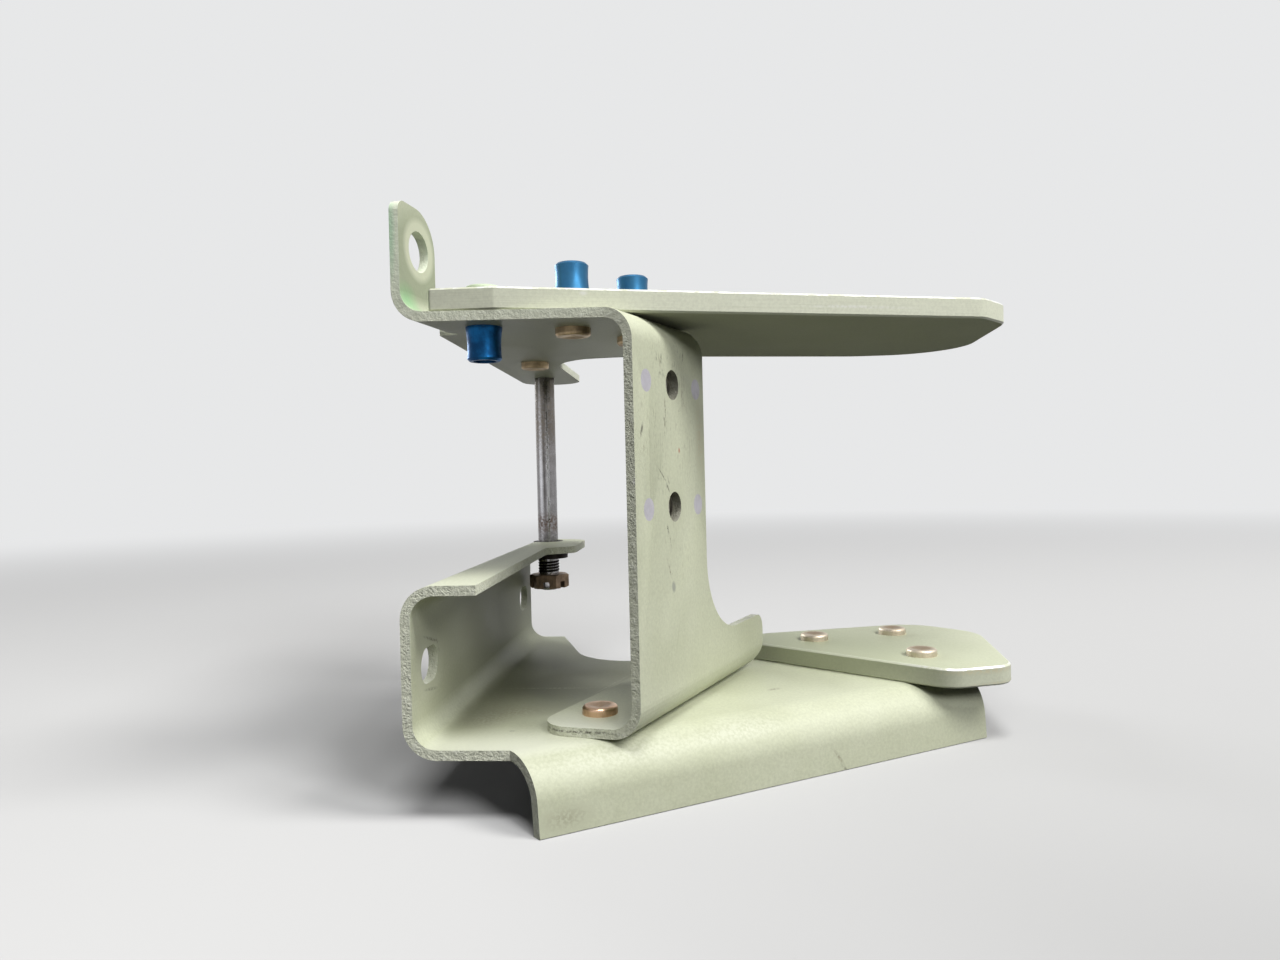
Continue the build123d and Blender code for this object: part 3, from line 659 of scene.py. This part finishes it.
# %% [markdown]
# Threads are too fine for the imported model, so they are added here. A thread is one small three-sided
# ridge that is spun round its axis while it climbs, a pitch for each turn. The bolt's stands out, and the
# anchor nuts' point in.

# %% A thread
def thread(name, foot, axis, radius, depth, pitch, length, finish, body):
    """A ridge from radius to radius + depth, so a negative depth points into a bore."""
    axis = Vector(axis).normalized()
    side = axis.orthogonal().normalized()
    steps = 20
    turns = length / pitch
    mesh = bmesh.new()
    ring = [
        mesh.verts.new(Vector(foot) + side * (radius + out) + axis * (share * pitch))
        for out, share in ((0.0, 0.05), (depth, 0.5), (0.0, 0.95))
    ]
    mesh.faces.new(ring)
    bmesh.ops.spin(
        mesh, geom=mesh.verts[:] + mesh.edges[:] + mesh.faces[:], cent=Vector(foot), axis=axis,
        dvec=axis * (pitch / steps), angle=2 * pi * turns, steps=int(steps * turns),
        use_merge=False, use_duplicate=False,
    )
    bmesh.ops.remove_doubles(mesh, verts=mesh.verts[:], dist=1e-6)
    bmesh.ops.recalc_face_normals(mesh, faces=mesh.faces[:])
    data = bpy.data.meshes.new(name)
    mesh.to_mesh(data)
    mesh.free()
    data.materials.append(finishes[finish])
    data.polygons.foreach_set("use_smooth", [True] * len(data.polygons))
    data.set_sharp_from_angle(angle=radians(40))
    piece = bpy.data.objects.new(name, data)
    bpy.context.scene.collection.objects.link(piece)
    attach(piece, body)
    print(name, "turns", round(turns, 1), "faces", len(data.polygons))


# %% [markdown]
# The bolt's thread runs from just above the nut to just below the bushing, and turns with the bolt. The
# nuts' start right behind the upright's web, so they show through its two holes.

# %% Threads on the bolt's bare end and in the anchor nuts
bolt_low, bolt_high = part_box("pivot_bolt")
bolt_axis = Vector(((bolt_low[0] + bolt_high[0]) / 2, (bolt_low[1] + bolt_high[1]) / 2, 0.0))
nut_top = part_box("castellated_nut")[1][2]
bushing_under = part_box("flanged_bushing")[0][2]
bolt_radius, bolt_ridge, bolt_pitch = 0.00315, 0.00028, 0.00091
above_nut, below_bushing = 0.0001, 0.0011
thread(
    "bolt_thread", bolt_axis + Vector((0, 0, nut_top + above_nut)), (0, 0, 1), bolt_radius, bolt_ridge,
    bolt_pitch, bushing_under - nut_top - below_bushing, "dark_steel", "hinge_bolt",
)
nut_radius, nut_ridge, nut_pitch, nut_length = 0.00281, -0.00032, 0.00079, 0.0070
hole_back, behind_web = 0.0186, 0.0021
hole_heights = (0.058033, 0.031633)
turn = radians(web_turn)
web_left = Vector((-cos(turn), -sin(turn), 0.0))
web_back = Vector((-sin(turn), cos(turn), 0.0))
web_foot = Vector((web_start[0] / 1000, web_start[1] / 1000, 0.0))
seat = web_foot + web_back * hole_back + web_left * behind_web
for number, up in enumerate(hole_heights, start=1):
    thread(
        f"anchor_thread_{number}", seat + Vector((0, 0, up)), web_left, nut_radius, nut_ridge,
        nut_pitch, nut_length, "plated_nut", "bracket",
    )

# %% [markdown]
# A plain pale room: one wide floor at the lowest point of the down flange. What the camera or a shiny
# surface sees of it is pale, and it fades into an even pale distance. To light that bounces it is nearly
# black, so the undersides and the inside of the channel stay deep.

# %% The floor and the room
def seen_directly(tree):
    path = wire(tree, "ShaderNodeLightPath").outputs
    seen = combine(tree, "MAXIMUM", path["Is Camera Ray"], path["Is Glossy Ray"])
    return combine(tree, "MAXIMUM", seen, path["Is Transmission Ray"])


pale = (0.80, 0.805, 0.81, 1.0)
floor_grey = (0.50, 0.50, 0.50, 1.0)
floor_dark = (0.035, 0.035, 0.036, 1.0)
under_bracket = (0.06, 0.0, 0.0)
fade_start, fade_end = 0.25, 1.3
floor_radius = 9.0


def pale_floor():
    material, tree, shader = new_material("pale_floor")
    tree.nodes.remove(shader)
    place = object_place(tree)
    near = wire(tree, "ShaderNodeBsdfDiffuse", {"Color": floor_grey, "Roughness": 1.0}).outputs[0]
    far = wire(tree, "ShaderNodeEmission", {"Color": pale, "Strength": 1.0}).outputs[0]
    bounce = wire(tree, "ShaderNodeBsdfDiffuse", {"Color": floor_dark, "Roughness": 1.0}).outputs[0]
    away = wire(tree, "ShaderNodeVectorMath", {0: place, 1: under_bracket}, operation="DISTANCE")
    fade = {"Value": away.outputs["Value"], "From Min": fade_start, "From Max": fade_end}
    distance = wire(tree, "ShaderNodeMapRange", fade, interpolation_type="SMOOTHSTEP")
    seen = wire(tree, "ShaderNodeMixShader", {0: distance.outputs[0], 1: near, 2: far}).outputs[0]
    surface = wire(tree, "ShaderNodeMixShader", {0: seen_directly(tree), 1: bounce, 2: seen}).outputs[0]
    tree.links.new(surface, tree.nodes["Material Output"].inputs["Surface"])
    return material


def studio_floor(level):
    mesh = bmesh.new()
    bmesh.ops.create_circle(mesh, cap_ends=True, segments=96, radius=floor_radius)
    bmesh.ops.translate(mesh, verts=mesh.verts[:], vec=(under_bracket[0], under_bracket[1], level))
    data = bpy.data.meshes.new("studio_floor")
    mesh.to_mesh(data)
    mesh.free()
    data.materials.append(pale_floor())
    floor = bpy.data.objects.new("studio_floor", data)
    bpy.context.scene.collection.objects.link(floor)
    print("floor at", round(level * 1000, 2), "mm")


studio_floor(cad_box[0][2])
world = bpy.data.worlds.new("studio")
world.use_nodes = True
room = world.node_tree
dim = room.nodes["Background"]
dim.inputs["Color"].default_value = (0.95, 0.97, 1.0, 1.0)
dim.inputs["Strength"].default_value = 0.04
bright = wire(room, "ShaderNodeBackground", {"Color": pale, "Strength": 1.0})
both = wire(room, "ShaderNodeMixShader", {0: seen_directly(room), 1: dim.outputs[0], 2: bright.outputs[0]})
room.links.new(both.outputs[0], room.nodes["World Output"].inputs["Surface"])
bpy.context.scene.world = world
bpy.context.scene.view_settings.view_transform = "Standard"

# %% [markdown]
# Soft lamps stand for the panels of a ceiling. The main one is high on the right, where it throws the
# plates' shadows down the web and the fold. A second, almost overhead and a little in front, reaches the
# foot and the channel's front that the first can't. A low one softens both, and one behind keeps the far
# side readable.

# %% The lamps
lit_middle = Vector((0.06, 0.0, 0.02))


def soft_light(name, direction, distance, size, level, colour=(1.0, 1.0, 1.0)):
    """A disk that lights a white face turned to it to about the given level."""
    light_data = bpy.data.lights.new(name, "AREA")
    light_data.shape = "DISK"
    light_data.size = size
    light_data.energy = level * (pi * distance) ** 2
    light_data.color = colour
    light = bpy.data.objects.new(name, light_data)
    light.location = lit_middle + Vector(direction).normalized() * distance
    light.rotation_euler = (lit_middle - light.location).to_track_quat("-Z", "Y").to_euler()
    bpy.context.scene.collection.objects.link(light)
    print(name, "at", [round(v, 3) for v in light.location], "watts", round(light_data.energy, 2))


soft_light("main_panel", (0.61, -0.22, 0.76), 1.15, 0.45, 0.79, (1.0, 0.99, 0.97))
soft_light("high_panel", (0.06, -0.36, 0.93), 1.20, 0.42, 0.61)
soft_light("low_panel", (0.56, -0.66, 0.50), 1.20, 0.42, 0.42)
soft_light("rear_panel", (-0.70, 0.62, 0.35), 1.40, 0.60, 0.46, (0.97, 0.98, 1.0))
